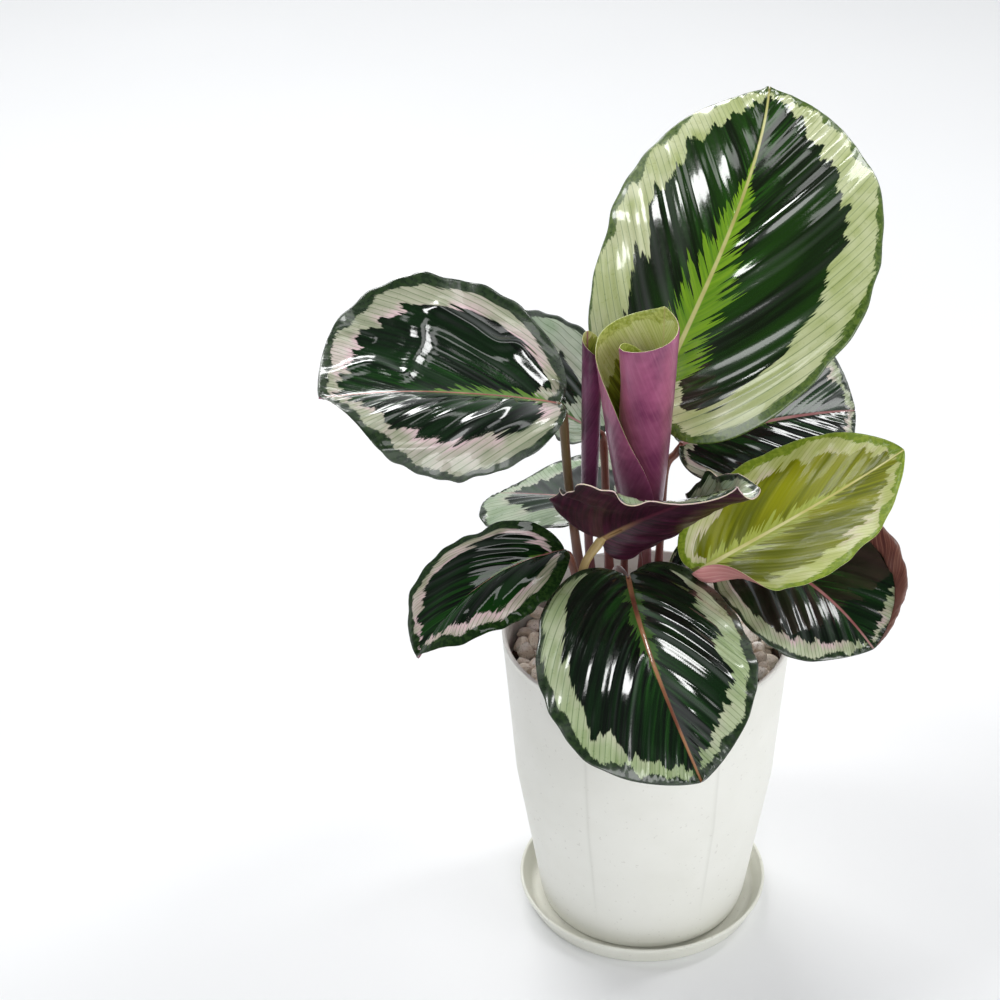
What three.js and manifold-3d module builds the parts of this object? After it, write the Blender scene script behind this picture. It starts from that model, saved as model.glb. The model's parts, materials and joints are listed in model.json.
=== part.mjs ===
// Potted calathea: a plastic pot on its saucer, soil, pumice pebbles and a young rose-painted
// calathea with ten open leaves, two rolled new leaves and one shoot.
// Millimetres, +Z up. The origin is the centre of the saucer's underside, on the floor. -Y is the front.
import * as THREE from 'three';
import { mergeVertices } from 'three/addons/utils/BufferGeometryUtils.js';
import Module from 'manifold-3d';

// ---------------------------------------------------------------- driving dimensions
const GAP = 0.3; // clearance between pieces that rest on each other
const TURN = 48; // segments around the pot and the saucer

const SAUCER = { foot: 65.5, lip: 70.7, lipInside: 68.7, height: 13, floor: 3 };
const POT = {
  bottom: SAUCER.floor + GAP, top: 183, wall: 2.4, floor: 3,
  // outside radius at heights above the table, from the foot to the rim
  outside: [[3.3, 55], [5, 57.6], [10, 59], [40, 63.6], [94, 72], [183, 78.5]],
  drains: 5, drainRadius: 4, drainCircle: 34,
};
const SOIL = { top: 160, well: 38, wellDepth: 10 };
const CROWN = { radius: 36, shoulder: 8, height: 17 };
const BED = { inside: 39, top: 168.5, bump: 1.1 };
const STONES = { count: 16, ring: [47, 66], size: [4.6, 7.2] };
const SHEET = 0.8; // thickness of a leaf blade
const STEM_BASE = 169; // height at which the petioles leave the crown

// Leaf blades. base: where the petiole meets the blade; az: heading of the midrib seen from above,
// bend: how far the heading turns along the leaf; pitch: climb at the base and at the tip;
// roll, twist: tilt about the midrib and its change; half: widths left and right of the midrib;
// cup: rise of each half at the midrib; curl: how far each half bends up; lobe: basal lobe / length.
const LEAVES = {
  tall: { base: [5, 34, 306], az: 61, bend: 41, pitch: [56, 18], roll: -12, twist: 14,
    length: 200, half: [70, 83], cup: -2, curl: [-22, -17], lobe: 0.14 },
  left: { base: [-47, -5, 326], az: 187, bend: 18, pitch: [12, 2], roll: -9, twist: -1,
    length: 124, half: [61, 79], cup: 16, curl: [-99, 34], lobe: 0.07 },
  left_back: { base: [-24, 38, 284], az: 175, bend: 46, pitch: [16, 50], roll: 3, twist: 18,
    length: 70, half: [39, 76], cup: 7, curl: [11, 0], lobe: 0.12 },
  back: { base: [-9, 45, 235], az: 137, bend: -16, pitch: [-12, -25], roll: -6, twist: 7,
    length: 100, half: [42, 59], cup: 6, curl: [-37, 11], lobe: 0.05 },
  front_left: { base: [-44, -12, 241], az: 208, bend: 25, pitch: [2, -49], roll: -25, twist: -24,
    length: 100, half: [56, 50], cup: 24, curl: [-72, -15], lobe: 0 },
  front: { base: [-12, -38, 240], az: 287, bend: 27, pitch: [-5, -44], roll: -23, twist: -33,
    length: 125, half: [52, 59], cup: 22, curl: [-62, -11], lobe: 0.1 },
  young: { base: [24, -42, 247], az: 22, bend: -32, pitch: [3, 36], roll: -9, twist: -1,
    length: 130, half: [43, 49], cup: 8, curl: [10, 0], lobe: 0.06 },
  right_low: { base: [48, 2, 232], az: -41, bend: -10, pitch: [5, -39], roll: -14, twist: -16,
    length: 95, half: [48, 56], cup: 12, curl: [0, 7], lobe: 0.08 },
  right_back: { base: [21, 55, 266], az: 22, bend: 17, pitch: [11, -16], roll: -45, twist: 2,
    length: 110, half: [58, 41], cup: 11, curl: [19, -12], lobe: 0.07 },
  inner: { base: [-24, -10, 248], az: -38, bend: -12, pitch: [42, 31], roll: 57, twist: -48,
    length: 102, half: [48, 60], cup: -33, curl: [184, 24], lobe: 0.08 },
};

// Petioles: points from the crown up to just below the blade, and the tube's radius.
const PETIOLES = {
  tall: { path: [[-2, 16], [1, 25, 235], [4, 33, 302]], radius: 2.6 },
  left: { path: [[-28, 4], [-37, -1, 231], [-42, -1, 279], [-45, -4, 320]], radius: 2.4 },
  left_back: { path: [[-17, 16], [-20, 27, 230], [-22, 35, 279]], radius: 2.2 },
  back: { path: [[-10, 24], [-10, 36, 205], [-8, 42, 230]], radius: 2.0 },
  front_left: { path: [[-29, -8], [-36, -12, 210], [-41, -12, 235]], radius: 2.2 },
  front: { path: [[-11, 7], [-16, 6, 205], [-16, -8, 226], [-12, -34, 235]], radius: 2.6 },
  young: { path: [[8, -14], [16, -28, 215], [21, -40, 242]], radius: 2.6 },
  right_low: { path: [[11, 4], [28, 4, 205], [44, 3, 227]], radius: 2.4 },
  right_back: { path: [[6, 24], [10, 36, 225], [13, 49, 254], [19, 54, 261]], radius: 2.0 },
  inner: { path: [[-21, -5], [-34, -18, 222], [-34, -17, 236], [-26, -10, 245]], radius: 2.3 },
  roll_thin: { path: [[-19, 8], [-29, 11, 212], [-31, 13, 243]], radius: 2.4 },
  roll_wide: { path: [[-1, 5], [1, 8, 200], [0, 8, 228]], radius: 2.6 },
};

// Rolled blades. axis: bottom and top of the scroll; radius: at the bottom and at the mouth;
// midrib: its bearing seen from above; half: widths wound each way; blunt: how squarely they end at
// the bottom and at the mouth; outward, inward: step between layers per radian, fixed and per radius.
const ROLLS = {
  roll_wide: { axis: [[-1, 8, 232], [-6, -8, 375]], radius: [4, 21.5], flare: 0.6, midrib: 50,
    half: [58, 120], blunt: [[0.5, 5], [0.7, 4]], outward: [0.3, 0.01], inward: [0.1, 0.07] },
  roll_thin: { axis: [[-31, 13, 246], [-29, 14, 357]], radius: [2.7, 4.6], flare: 0.5, midrib: 120,
    half: [19, 19], blunt: [[0.14, 6], [0.14, 6]], outward: [0.2, 0], inward: [0.2, 0.015] },
  shoot: { axis: [[5, -6, 171], [20, -12, 247]], radius: [2.6, 8.5], flare: 1.1, midrib: 70,
    half: [17, 17], blunt: [[0.3, 4], [0.3, 4]], outward: [0.2, 0], inward: [0.2, 0.015] },
};

const COLOURS = {
  plastic: '#dcded8', soil: '#3b2f26', crown: '#6b5a3c', pebble: '#bdb09c',
  dark: '#1f3a25', medium: '#2c5030', young: '#7f8f2c', under: '#4a1f33', roll: '#8a5578',
  petiole: '#6a3b3c', petioleGreen: '#8f8a45',
};

// ---------------------------------------------------------------- helpers
const wasm = await Module();
wasm.setup();

const group = new THREE.Group();
const rad = THREE.MathUtils.degToRad;
const lerp = THREE.MathUtils.lerp;

function add(name, geometry, colour, roughness = 0.5, metalness = 0) {
  const mesh = new THREE.Mesh(geometry, new THREE.MeshStandardMaterial({ color: colour, roughness, metalness }));
  mesh.name = name;
  group.add(mesh);
  return mesh;
}

// Only positions, with shared vertices merged: a closed surface that can be warped or cut.
function bare(geometry) {
  geometry.deleteAttribute('normal');
  geometry.deleteAttribute('uv');
  return mergeVertices(geometry, 1e-4);
}

// A solid of revolution about +Z from [radius, z] points that start and end on the axis or close.
function lathe(profile, segments = TURN) {
  const points = profile.map(([r, z]) => new THREE.Vector2(r, z));
  return bare(new THREE.LatheGeometry(points, segments).rotateX(Math.PI / 2));
}

function warp(geometry, move) {
  const position = geometry.attributes.position;
  for (let i = 0; i < position.count; i++) {
    const p = move(position.getX(i), position.getY(i), position.getZ(i));
    position.setXYZ(i, p.x, p.y, p.z);
  }
  geometry.computeVertexNormals();
  return geometry;
}

function toManifold(geometry) {
  return new wasm.Manifold(new wasm.Mesh({
    numProp: 3,
    vertProperties: new Float32Array(geometry.attributes.position.array),
    triVerts: new Uint32Array(geometry.index.array),
  }));
}

function fromManifold(solid) {
  const mesh = solid.getMesh();
  const geometry = new THREE.BufferGeometry();
  geometry.setAttribute('position', new THREE.BufferAttribute(mesh.vertProperties, 3));
  geometry.setIndex(new THREE.BufferAttribute(mesh.triVerts, 1));
  geometry.computeVertexNormals();
  return geometry;
}

// Outside radius of the pot at height z.
function potRadius(z) {
  const rows = POT.outside;
  let k = 1;
  while (k < rows.length - 1 && rows[k][0] < z) k++;
  const [[z0, r0], [z1, r1]] = [rows[k - 1], rows[k]];
  return lerp(r0, r1, (z - z0) / (z1 - z0));
}

// ---------------------------------------------------------------- saucer and pot
{
  const { foot, lip, lipInside, height, floor } = SAUCER;
  add('saucer', lathe([
    [0, 0], [foot - 1.5, 0], [foot, 1.2], [lip, height - 0.8], [lip - 0.5, height],
    [lipInside + 0.5, height], [lipInside, height - 0.8], [foot - 2.2, floor + 1], [foot - 3.5, floor], [0, floor],
  ]), COLOURS.plastic, 0.45);
}
{
  const { bottom, top, wall, floor, outside } = POT;
  const inside = outside.slice(3).map(([z, r]) => [r - wall, z]).reverse();
  const body = lathe([
    [0, bottom], ...outside.slice(0, -1).map(([z, r]) => [r, z]),
    [potRadius(top), top - 0.7], [potRadius(top) - 0.6, top], [potRadius(top) - wall + 0.6, top],
    [potRadius(top) - wall, top - 0.7], ...inside.slice(1),
    [potRadius(12) - wall, 12], [potRadius(10) - wall - 1.4, bottom + floor], [0, bottom + floor],
  ]);
  let pot = toManifold(body);
  for (let i = 0; i < POT.drains; i++) {
    const angle = (2 * Math.PI * i) / POT.drains;
    const hole = bare(new THREE.CylinderGeometry(POT.drainRadius, POT.drainRadius, 12, 12).rotateX(Math.PI / 2));
    hole.translate(POT.drainCircle * Math.cos(angle), POT.drainCircle * Math.sin(angle), bottom + floor / 2);
    pot = pot.subtract(toManifold(hole));
  }
  add('pot', fromManifold(pot), COLOURS.plastic, 0.4);
}

// ---------------------------------------------------------------- soil, crown and pebbles
{
  const edge = (z) => potRadius(z) - POT.wall - GAP;
  const low = POT.bottom + POT.floor + GAP;
  const wellFloor = SOIL.top - SOIL.wellDepth;
  add('soil', lathe([
    [0, low], [edge(10) - 1.8, low], [edge(12) - 0.3, 12.5], [edge(40), 40], [edge(94), 94],
    [edge(SOIL.top), SOIL.top], [SOIL.well, SOIL.top], [SOIL.well - 1, wellFloor], [0, wellFloor],
  ]), COLOURS.soil, 0.95);

  const { radius, shoulder, height } = CROWN;
  const foot = wellFloor + GAP;
  add('crown', lathe([
    [0, foot], [radius, foot], [radius + 0.5, foot + shoulder], [radius - 4, foot + height - 2],
    [radius - 12, foot + height], [0, foot + height],
  ], 24), COLOURS.crown, 0.8);

  // The pebble bed is one ring whose upper face rises and falls like packed stones.
  const outer = edge(SOIL.top + 4);
  const bedTop = BED.top;
  const rows = [0, 0.34, 0.67, 1].map((k) => [lerp(outer - 1.5, BED.inside + 1.5, k), bedTop]);
  const ring = lathe([
    [BED.inside, SOIL.top + GAP], [outer - 0.5, SOIL.top + GAP], [outer, bedTop - 2.5], ...rows,
    [BED.inside, bedTop - 2.5], [BED.inside, SOIL.top + GAP],
  ]);
  add('pebble_bed', warp(ring, (x, y, z) => {
    const rise = z > bedTop - 1 ? BED.bump * Math.sin(x * 0.55 + 1) * Math.cos(y * 0.6) : 0;
    return new THREE.Vector3(x, y, z + rise);
  }), COLOURS.pebble, 0.9);

  // Loose stones on the bed, kept clear of the four compass bearings.
  for (let i = 0; i < STONES.count; i++) {
    const quarter = Math.floor(i / 4);
    const bearing = rad(90 * quarter + 27 + 12 * (i % 4));
    const size = lerp(...STONES.size, (i * 0.618) % 1);
    const ringRadius = lerp(...STONES.ring, i % 2);
    const squash = [1, 0.8, 0.62 + 0.1 * ((i * 0.37) % 1)];
    const stone = warp(bare(new THREE.IcosahedronGeometry(size, 1)), (x, y, z) => {
      const dent = 1 + 0.07 * Math.sin(3 * x / size + i) * Math.cos(2 * y / size - i);
      return new THREE.Vector3(x * squash[0] * dent, y * squash[1] * dent, z * squash[2]);
    });
    const mesh = add(`pebble_${String(i + 1).padStart(2, '0')}`, stone, COLOURS.pebble, 0.9);
    mesh.rotation.z = bearing + 2.4 * i;
    mesh.position.set(ringRadius * Math.cos(bearing), ringRadius * Math.sin(bearing),
      bedTop + BED.bump + GAP + size * squash[2]);
  }
}

// ---------------------------------------------------------------- leaf blades
// Half-width of a blade, 0..1, at s = 0 (base) .. 1 (tip): an oval with a short point.
function outlineAt(s) {
  return Math.pow(4 * s * (1 - s), 0.5 + 0.22 * s ** 4);
}

// The midrib as a polyline: heading and climb change evenly along it.
function midribOf(leaf, steps = 60) {
  const points = [new THREE.Vector3(...leaf.base)];
  for (let i = 0; i < steps; i++) {
    const { T } = frameAt(leaf, (i + 0.5) / steps);
    points.push(points[i].clone().addScaledVector(T, leaf.length / steps));
  }
  return points;
}

// Tangent T, right-hand side B and upper normal N of the blade at s.
function frameAt(leaf, s) {
  const az = rad(leaf.az + leaf.bend * (s - 0.5));
  const climb = rad(lerp(leaf.pitch[0], leaf.pitch[1], s));
  const tilt = rad(leaf.roll + leaf.twist * (s - 0.5));
  const T = new THREE.Vector3(Math.cos(climb) * Math.cos(az), Math.cos(climb) * Math.sin(az), Math.sin(climb));
  const B = new THREE.Vector3(Math.sin(az), -Math.cos(az), 0);
  const N = new THREE.Vector3().crossVectors(B, T);
  const right = B.clone().multiplyScalar(Math.cos(tilt)).addScaledVector(N, Math.sin(tilt));
  const up = N.multiplyScalar(Math.cos(tilt)).addScaledVector(B, -Math.sin(tilt));
  return { T, B: right, N: up };
}

// A point of the blade: s along it, t across it (-1 left margin, 1 right margin), lift above it.
function bladePoint(leaf, spine, s, t, lift) {
  const { T, B, N } = frameAt(leaf, s);
  const place = s * (spine.length - 1);
  const k = Math.min(Math.floor(place), spine.length - 2);
  const point = spine[k].clone().lerp(spine[k + 1], place - k);
  const side = t < 0 ? 0 : 1;
  const full = leaf.half[side];
  const across = Math.abs(t) * full * outlineAt(s);
  const start = rad(leaf.cup);
  const bend = (rad(leaf.curl[side]) || 1e-6) / full;
  const end = start + bend * across;
  const out = ((Math.sin(end) - Math.sin(start)) / bend) * (t < 0 ? -1 : 1);
  const up = (Math.cos(start) - Math.cos(end)) / bend;
  const share = across / full;
  const back = leaf.lobe * leaf.length * 1.25 * (share / (share + 0.25)) * (1 - s) ** 3;
  const tilt = end * (t < 0 ? -1 : 1) * Math.min(1, Math.abs(t) * 4);
  return point.addScaledVector(B, out - lift * Math.sin(tilt)).addScaledVector(N, up + lift * Math.cos(tilt))
    .addScaledVector(T, -back);
}

function bladeGeometry(leaf, along = 11, across = 8) {
  const spine = midribOf(leaf);
  const slab = bare(new THREE.BoxGeometry(1, 2, SHEET, along, across, 1));
  return warp(slab, (x, y, z) => {
    const s = 0.5 - 0.488 * Math.cos(Math.PI * (x + 0.5)); // finer steps towards base and tip
    return bladePoint(leaf, spine, s, -y, z);
  });
}

const TOP_COLOUR = { young: COLOURS.young, inner: COLOURS.under, back: COLOURS.medium, left_back: COLOURS.medium };
for (const [name, leaf] of Object.entries(LEAVES)) {
  add(`leaf_${name}_blade`, bladeGeometry(leaf), TOP_COLOUR[name] ?? COLOURS.dark, 0.35);
}

// ---------------------------------------------------------------- rolled blades
function rollGeometry(roll, along, around) {
  const [bottom, top] = roll.axis.map((p) => new THREE.Vector3(...p));
  const slab = bare(new THREE.BoxGeometry(1, 2, SHEET, along, around, 1));
  return warp(slab, (x, y, z) => {
    const s = 0.5 - 0.485 * Math.cos(Math.PI * (x + 0.5));
    const radius = lerp(roll.radius[0], roll.radius[1], s ** roll.flare);
    const side = y > 0 ? 0 : 1;
    const [low, mouth] = roll.blunt[side];
    const share = s < 0.5 ? Math.pow(4 * s * (1 - s), low) : 1 - Math.pow(2 * s - 1, mouth);
    const width = Math.abs(y) * roll.half[side] * share;
    const wound = width / radius;
    // one half winds outwards, the other inwards, so that the layers never touch
    const [fixed, grow] = side === 0 ? roll.outward : roll.inward;
    const r = radius + (side === 0 ? 1 : -1) * (fixed + grow * radius) * wound;
    const bearing = rad(roll.midrib) + (side === 0 ? wound : -wound);
    const centre = bottom.clone().lerp(top, s);
    return new THREE.Vector3(Math.cos(bearing), Math.sin(bearing), 0).multiplyScalar(r - z).add(centre);
  });
}
add('roll_wide_blade', rollGeometry(ROLLS.roll_wide, 13, 36), COLOURS.roll, 0.5);
add('roll_thin_blade', rollGeometry(ROLLS.roll_thin, 8, 20), COLOURS.roll, 0.5);
add('shoot', rollGeometry(ROLLS.shoot, 7, 12), COLOURS.roll, 0.5);

// ---------------------------------------------------------------- petioles
for (const [name, { path, radius }] of Object.entries(PETIOLES)) {
  const points = path.map(([x, y, z = STEM_BASE]) => new THREE.Vector3(x, y, z));
  const ring = new THREE.Shape(Array.from({ length: 8 }, (_, i) => {
    const a = (2 * Math.PI * i) / 8;
    return new THREE.Vector2(radius * Math.cos(a), radius * Math.sin(a));
  }));
  const curve = new THREE.CatmullRomCurve3(points, false, 'centripetal');
  const tube = new THREE.ExtrudeGeometry(ring, { steps: 4 * path.length, bevelEnabled: false, extrudePath: curve });
  const stem = name.startsWith('roll') ? `${name}_stem` : `leaf_${name}_petiole`;
  const colour = ['left', 'inner', 'young'].includes(name) ? COLOURS.petioleGreen : COLOURS.petiole;
  add(stem, bare(tube), colour, 0.5);
}

export default group;
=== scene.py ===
"""Potted calathea: leaves, petioles, stone chips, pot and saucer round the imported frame."""
import json
import math
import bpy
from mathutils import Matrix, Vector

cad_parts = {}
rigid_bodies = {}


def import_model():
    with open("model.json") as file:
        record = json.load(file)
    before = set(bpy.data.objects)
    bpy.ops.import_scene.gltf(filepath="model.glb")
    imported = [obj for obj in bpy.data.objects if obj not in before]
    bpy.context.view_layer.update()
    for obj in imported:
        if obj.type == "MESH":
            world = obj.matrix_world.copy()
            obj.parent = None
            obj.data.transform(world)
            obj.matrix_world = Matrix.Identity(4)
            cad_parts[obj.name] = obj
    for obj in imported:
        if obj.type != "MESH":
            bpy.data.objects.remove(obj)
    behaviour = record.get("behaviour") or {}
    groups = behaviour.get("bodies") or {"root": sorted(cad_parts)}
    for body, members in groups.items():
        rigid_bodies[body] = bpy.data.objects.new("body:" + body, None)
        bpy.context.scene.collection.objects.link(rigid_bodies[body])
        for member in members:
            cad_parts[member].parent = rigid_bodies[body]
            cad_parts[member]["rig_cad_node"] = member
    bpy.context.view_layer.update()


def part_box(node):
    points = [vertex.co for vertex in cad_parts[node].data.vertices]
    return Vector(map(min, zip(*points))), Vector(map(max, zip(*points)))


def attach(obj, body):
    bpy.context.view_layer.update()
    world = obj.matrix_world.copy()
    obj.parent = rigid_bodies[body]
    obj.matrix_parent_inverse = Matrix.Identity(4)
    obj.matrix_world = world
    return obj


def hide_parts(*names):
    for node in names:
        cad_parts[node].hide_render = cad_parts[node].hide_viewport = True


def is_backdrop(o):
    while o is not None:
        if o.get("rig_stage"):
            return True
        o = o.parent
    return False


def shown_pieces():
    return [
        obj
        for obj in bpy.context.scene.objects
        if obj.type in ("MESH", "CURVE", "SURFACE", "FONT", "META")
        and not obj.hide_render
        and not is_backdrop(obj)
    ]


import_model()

from types import SimpleNamespace

import bmesh
import bpy
import numpy as np
from mathutils import Matrix, Vector

scene = bpy.context.scene
seeded = np.random.default_rng
MM = 0.001
PHASE = 6.28  # random phases are drawn from 0 to this
BLADE_HALF, ROLL_HALF = 0.22, 0.28  # half the thickness in mm of open and rolled blades
THIN_FROM = 0.8  # mm over which they thin towards the margin
WAVES = (1.7, 3.4, 5.3, 7.6)  # of the margin, in a leaf's length
NICKS = ((0.006, 3.1), (0.005, 5.7), (0.0035, 9.6))  # depth, as a share of the width, and number
FINE_GRID, GRID = (200, 64), (130, 42)  # rows, and columns in each half of a blade
LONG_LEAF = 122  # longer blades have the fine grid

# ---- the plant, in mm and degrees
# As in the CAD: base of the blade, heading and its change, climb at base and tip, tilt and its change,
# length, half widths, cup, curl of each half, basal lobe.
LEAF_COLUMNS = "base az bend pitch roll twist length half cup curl lobe".split()
LEAF_ROWS = {
    "tall": ((5, 34, 306), 61, 41, (56, 18), -12, 14, 200, (70, 83), -2, (-22, -17), 0.14),
    "left": ((-47, -5, 326), 187, 18, (12, 2), -9, -1, 124, (61, 79), 16, (-99, 34), 0.07),
    "left_back": ((-24, 38, 284), 175, 46, (16, 50), 3, 18, 70, (39, 76), 7, (11, 0), 0.12),
    "back": ((-9, 45, 235), 137, -16, (-12, -25), -6, 7, 100, (42, 59), 6, (-37, 11), 0.05),
    "front_left": ((-44, -12, 241), 208, 25, (2, -49), -25, -24, 100, (56, 50), 24, (-72, -15), 0.0),
    "front": ((-12, -38, 240), 287, 27, (-5, -44), -23, -33, 125, (52, 59), 22, (-62, -11), 0.1),
    "young": ((24, -42, 247), 22, -32, (3, 36), -9, -1, 130, (43, 49), 8, (10, 0), 0.06),
    "right_low": ((48, 2, 232), -41, -10, (5, -39), -14, -16, 95, (48, 56), 12, (0, 7), 0.08),
    "right_back": ((21, 55, 266), 22, 17, (11, -16), -45, 2, 110, (58, 41), 11, (19, -12), 0.07),
    "inner": ((-24, -10, 248), -38, -12, (42, 31), 57, -48, 102, (48, 60), -33, (184, 24), 0.08),
}
LEAVES = {key: dict(zip(LEAF_COLUMNS, row)) for key, row in LEAF_ROWS.items()}

# What the eye sees on each leaf. pleat: depth of the folds along the veins; wave: lift of the margin;
# buckle: broad dents; ring, margin: reach of the pale ring and the green rim, as shares of the half width;
# feather: mm of light green beside the midrib; foot: width of the ring at the base, as a share; hem:
# thickness of the very edge, as a share; lip: (side, where across it starts and is full, degrees turned
# up); funnel: (side, degrees raised at the base, until s); creases: (height, width, line of (s, t)).
LOOK_COLUMNS = "pleat wave buckle ring margin feather seed".split()
LOOK_ROWS = {
    "tall": (1.0, 1.2, 1.0, 0.31, 0.04, 17, 1),
    "left": (0.62, 1.8, 1.5, 0.25, 0.07, 9, 2),
    "left_back": (0.8, 1.6, 1.2, 0.42, 0.06, 4, 3),
    "back": (0.8, 2.0, 1.2, 0.4, 0.05, 6, 4),
    "front_left": (0.7, 1.6, 1.2, 0.25, 0.11, 3, 5),
    "front": (1.1, 1.3, 1.0, 0.28, 0.085, 6, 6),
    "young": (0.26, 1.0, 0.8, 0.31, 0.09, 9, 7),
    "right_low": (0.9, 1.3, 1.0, 0.25, 0.06, 4, 8),
    "right_back": (1.0, 1.8, 1.2, 0.26, 0.05, 4, 9),
    "inner": (0.5, 4.2, 0.8, 0.26, 0.05, 5, 10),
}
LOOKS = {key: dict(zip(LOOK_COLUMNS, row)) for key, row in LOOK_ROWS.items()}
LOOKS["front"]["foot"] = 0.4
LOOKS["inner"]["hem"] = 1.4
LOOKS["young"]["funnel"] = (1, 118, 0.24)
LOOKS["right_low"]["lip"] = (0, 0.74, 0.87, 195)
LOOKS["left"]["creases"] = [
    (2.6, 4.6, [(0.92, 0.45), (0.76, 0.35), (0.66, 0.18), (0.61, 0.2), (0.6, 0.3), (0.55, 0.43), (0.54, 0.6),
                (0.47, 0.73)]),
    (4.4, 5.0, [(0.48, 0.74), (0.37, 0.63), (0.28, 0.53), (0.2, 0.58), (0.15, 0.5), (0.07, 0.37)]),
    (1.4, 2.4, [(0.9, 1.0), (0.83, 0.82), (0.74, 0.6)]),
    (2.2, 3.0, [(0.79, -0.93), (0.62, -0.77), (0.52, -0.68), (0.42, -0.53), (0.3, -0.4), (0.22, -0.2)]),
]

# Radius of each petiole, its foot on the soil as (x, y), and the points that it passes through.
PETIOLES = {
    "tall": (2.6, (-2, 16), (1, 25, 235), (4, 33, 302)),
    "left": (2.4, (-28, 4), (-37, -1, 231), (-42, -1, 279), (-45, -4, 320)),
    "left_back": (2.2, (-17, 16), (-20, 27, 230), (-22, 35, 279)),
    "back": (2.0, (-10, 24), (-10, 36, 205), (-8, 42, 230)),
    "front_left": (2.2, (-29, -8), (-36, -12, 210), (-41, -12, 235)),
    "front": (2.6, (-11, 7), (-16, 6, 205), (-16, -8, 226), (-12, -34, 235)),
    "young": (2.6, (8, -14), (16, -28, 215), (21, -40, 242)),
    "right_low": (2.4, (11, 4), (28, 4, 205), (44, 3, 227)),
    "right_back": (2.0, (6, 24), (10, 36, 225), (13, 49, 254), (19, 54, 261)),
    "inner": (2.3, (-21, -5), (-34, -18, 222), (-34, -17, 236), (-26, -10, 245)),
    "roll_thin": (2.4, (-19, 8), (-29, 11, 212), (-31, 13, 243)),
    "roll_wide": (2.6, (-1, 5), (1, 8, 200), (0, 8, 228)),
}
STEM_BASE = 165.0  # height of the petioles' feet

# axis: base and mouth; radius at both, growing as s ** flare; midrib: its bearing in degrees; half: width
# of each half; blunt: how the base and the mouth of each half are rounded; outward, inward: how far each
# half moves as it winds, fixed and by radius; tuck: how far the inmost turn is pressed in.
ROLLS = {
    "roll_wide_blade": dict(
        axis=((-1, 8, 232), (-6, -8, 375)), radius=(4, 21.5), flare=0.6, midrib=50, half=(56, 150),
        blunt=((0.5, 5), (0.7, 4)), outward=(0.3, 0.05), inward=(0.1, 0.07), tuck=5, ripple=0.5),
    "roll_thin_blade": dict(
        axis=((-31, 13, 246), (-29, 14, 357)), radius=(2.7, 4.6), flare=0.5, midrib=120, half=(19, 19),
        blunt=((0.14, 6), (0.14, 6)), outward=(0.2, 0), inward=(0.2, 0.015), tuck=0, ripple=0.12),
    "shoot_blade": dict(
        axis=((5, -6, 171), (24, -13, 246)), radius=(2.8, 10.5), flare=1.0, midrib=70, half=(17, 17),
        blunt=((0.3, 4), (0.3, 4)), outward=(0.2, 0), inward=(0.2, 0.015), tuck=0, ripple=0.12),
}

# outside: (height, radius) points of the pot's wall
POT = dict(top=183.0, wall=2.4, bottom=3.3,
           outside=[(3.3, 55), (5, 57.6), (10, 59), (40, 63.6), (94, 72), (183, 78.5)])


# ---- mesh and node helpers
def add_object(name, data):
    ob = bpy.data.objects.new(name, data)
    scene.collection.objects.link(ob)
    return ob


def mesh_object(name, verts, faces, materials, face_mats=None, attrs=None):
    """A smooth mesh from millimetre points, with per-point float attributes for its material."""
    me = bpy.data.meshes.new(name)
    me.from_pydata((np.asarray(verts) * MM).tolist(), [], faces)
    for key, values in (attrs or {}).items():
        layer = me.attributes.new(key, "FLOAT", "POINT")
        layer.data.foreach_set("value", np.asarray(values, dtype=np.float32))
    for m in materials:
        me.materials.append(m)
    if face_mats is not None:
        me.polygons.foreach_set("material_index", np.asarray(face_mats, dtype=np.int32))
    me.polygons.foreach_set("use_smooth", np.full(len(me.polygons), True))
    me.update()
    return add_object(name, me)


def ring_quads(rows, cols, closed=False):
    """Quads of a grid whose columns run round; closed joins its last row to its first."""
    i, j = np.meshgrid(np.arange(rows if closed else rows - 1), np.arange(cols), indexing="ij")
    here, beside = i * cols + j, i * cols + (j + 1) % cols
    above = ((i + 1) % rows - i) * cols
    return np.stack([here, beside, beside + above, here + above], -1).reshape(-1, 4)


def settle(ob, slot, *nodes):
    """Let a piece ride on the one body in place of these CAD nodes; slot is not used."""
    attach(ob, "root")
    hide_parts(*nodes)


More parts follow.
